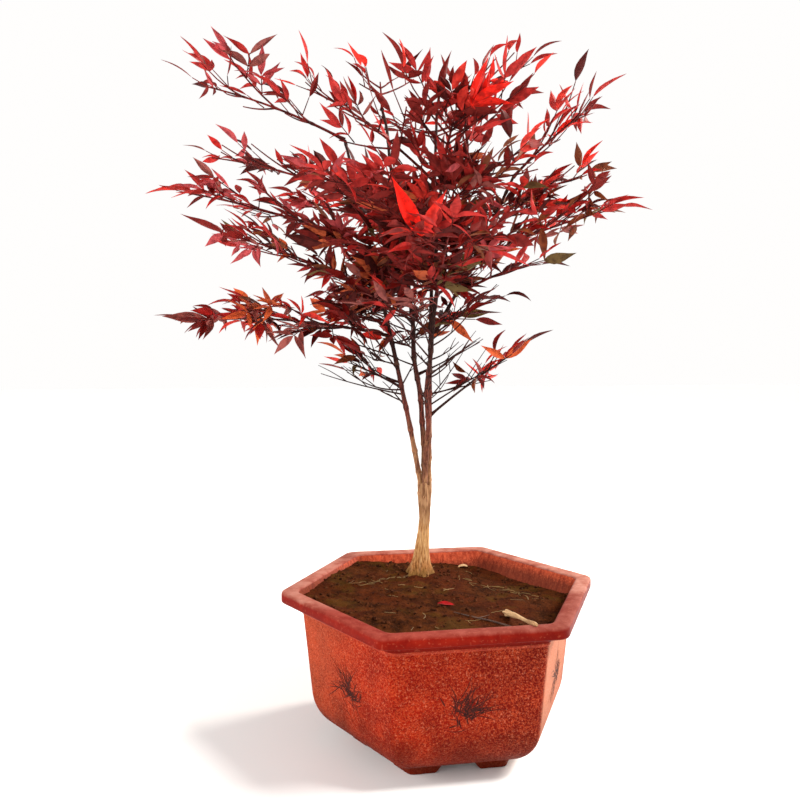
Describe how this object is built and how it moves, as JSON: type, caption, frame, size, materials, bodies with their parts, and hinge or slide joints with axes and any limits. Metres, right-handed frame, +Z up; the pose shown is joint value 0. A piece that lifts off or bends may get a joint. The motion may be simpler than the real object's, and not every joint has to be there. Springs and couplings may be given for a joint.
{
  "type": "potted heavenly bamboo shrub",
  "caption": "Heavenly bamboo in red autumn leaf: a short trunk forking into slender canes with tiers of pointed leaflets, in a hexagonal moulded plastic pot with corner feet.",
  "frame": {"origin": "middle of the part's bounding box at floor level, under the pot's feet", "axes": "+Z up; -Y is the front, square to the pot's front face; +X to the right seen from the front"},
  "size_m": [0.5766, 0.5346, 0.8364],
  "materials": {
    "pot": "red, fine grained, smooth on the rim",
    "soil": "moist crumbly earth",
    "bark": "pale fibrous bark",
    "cane": "dull red-brown bark",
    "foliage": "deep red autumn leaf"
  },
  "bodies": {
    "root": {"pot": "pot", "soil": "soil", "trunk": "bark", "cane_left": "cane", "cane_middle": "cane", "cane_right": "cane", "cane_front": "cane", "bough_right": "cane", "foliage_left_low": "foliage", "foliage_left_front": "foliage", "foliage_left_mid": "foliage", "foliage_left_back": "foliage", "foliage_left_top": "foliage", "foliage_low_left": "foliage", "foliage_top_left": "foliage", "foliage_top": "foliage", "foliage_back_left": "foliage", "foliage_back_low": "foliage", "foliage_top_right": "foliage", "foliage_back_top": "foliage", "foliage_back_right": "foliage", "foliage_right_low": "foliage", "foliage_low_right": "foliage", "foliage_right_top": "foliage", "foliage_right_mid": "foliage", "foliage_right": "foliage", "foliage_right_front": "foliage", "foliage_front_low": "foliage", "foliage_inner_left": "foliage", "foliage_front": "foliage", "foliage_front_left": "foliage", "foliage_front_right": "foliage", "foliage_front_top": "foliage", "foliage_front_crown": "foliage"}
  },
  "joints": []
}
